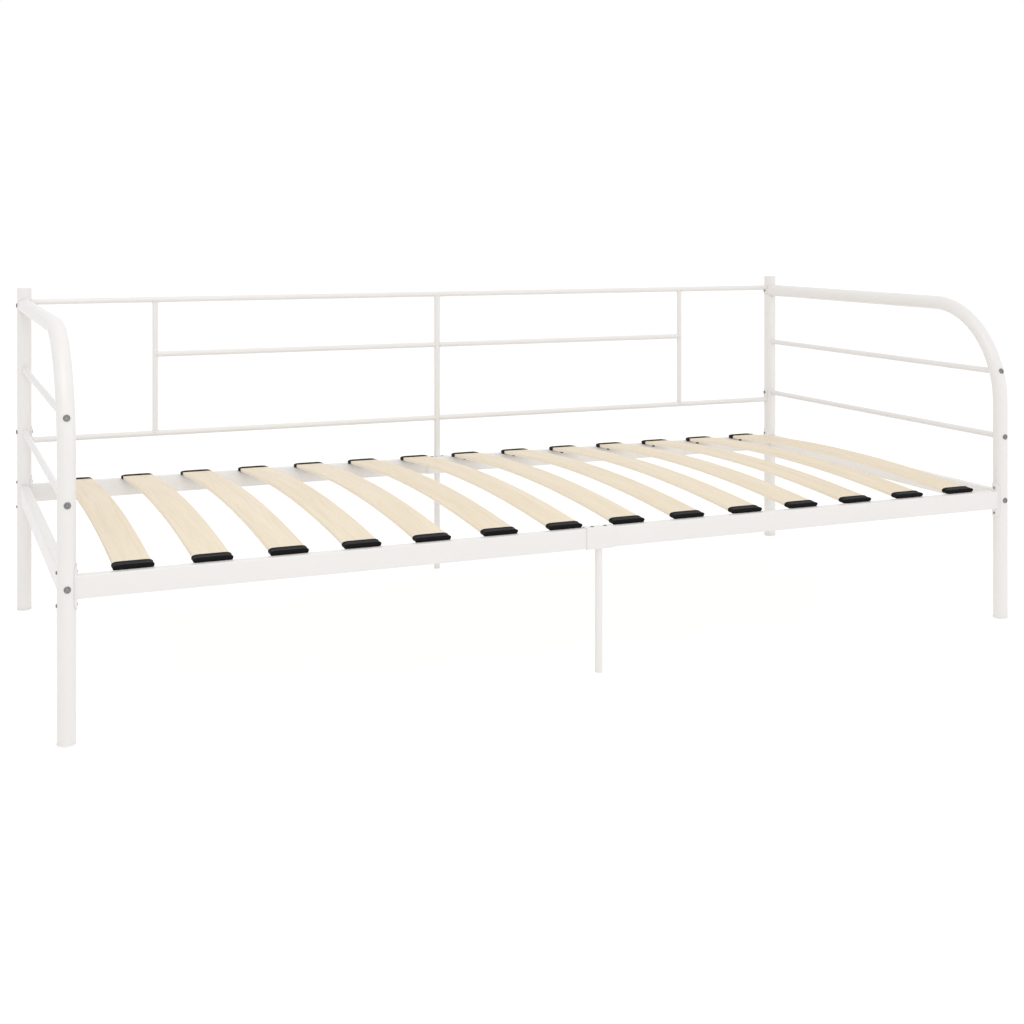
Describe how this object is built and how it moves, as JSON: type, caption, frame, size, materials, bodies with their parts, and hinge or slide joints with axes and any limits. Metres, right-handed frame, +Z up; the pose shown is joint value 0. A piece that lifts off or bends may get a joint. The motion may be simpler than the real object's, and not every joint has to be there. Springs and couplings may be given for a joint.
{
  "type": "daybed",
  "caption": "Tube-steel daybed with bent arms, an open railed backrest and bowed wooden slats held in end caps on box-section bed rails.",
  "frame": {"origin": "on the floor, under the middle of the bed", "axes": "+X along the bed, +Y towards the backrest, +Z up; the open front faces -Y"},
  "size_m": [2.072, 0.974, 0.7475],
  "materials": {
    "white_steel": "satin off-white powder coat",
    "slat_wood": "clear-lacquered pale birch ply",
    "cap_plastic": "fine-textured black plastic"
  },
  "bodies": {
    "root": {"left_arm_and_front_leg": "white_steel", "right_arm_and_front_leg": "white_steel", "left_back_post": "white_steel", "right_back_post": "white_steel", "left_upper_side_rod": "white_steel", "left_lower_side_rod": "white_steel", "right_upper_side_rod": "white_steel", "right_lower_side_rod": "white_steel", "left_end_beam": "white_steel", "right_end_beam": "white_steel", "front_left_bed_rail": "white_steel", "front_right_bed_rail": "white_steel", "back_left_bed_rail": "white_steel", "back_right_bed_rail": "white_steel", "front_centre_leg_and_sleeve": "white_steel", "back_centre_leg_and_sleeve": "white_steel", "backrest": "white_steel", "slat_01": "slat_wood", "slat_02": "slat_wood", "slat_03": "slat_wood", "slat_04": "slat_wood", "slat_05": "slat_wood", "slat_06": "slat_wood", "slat_07": "slat_wood", "slat_08": "slat_wood", "slat_09": "slat_wood", "slat_10": "slat_wood", "slat_11": "slat_wood", "slat_12": "slat_wood", "slat_13": "slat_wood", "slat_14": "slat_wood", "front_slat_cap_01": "cap_plastic", "front_slat_cap_02": "cap_plastic", "front_slat_cap_03": "cap_plastic", "front_slat_cap_04": "cap_plastic", "front_slat_cap_05": "cap_plastic", "front_slat_cap_06": "cap_plastic", "front_slat_cap_07": "cap_plastic", "front_slat_cap_08": "cap_plastic", "front_slat_cap_09": "cap_plastic", "front_slat_cap_10": "cap_plastic", "front_slat_cap_11": "cap_plastic", "front_slat_cap_12": "cap_plastic", "front_slat_cap_13": "cap_plastic", "front_slat_cap_14": "cap_plastic", "back_slat_cap_01": "cap_plastic", "back_slat_cap_02": "cap_plastic", "back_slat_cap_03": "cap_plastic", "back_slat_cap_04": "cap_plastic", "back_slat_cap_05": "cap_plastic", "back_slat_cap_06": "cap_plastic", "back_slat_cap_07": "cap_plastic", "back_slat_cap_08": "cap_plastic", "back_slat_cap_09": "cap_plastic", "back_slat_cap_10": "cap_plastic", "back_slat_cap_11": "cap_plastic", "back_slat_cap_12": "cap_plastic", "back_slat_cap_13": "cap_plastic", "back_slat_cap_14": "cap_plastic"}
  },
  "joints": []
}
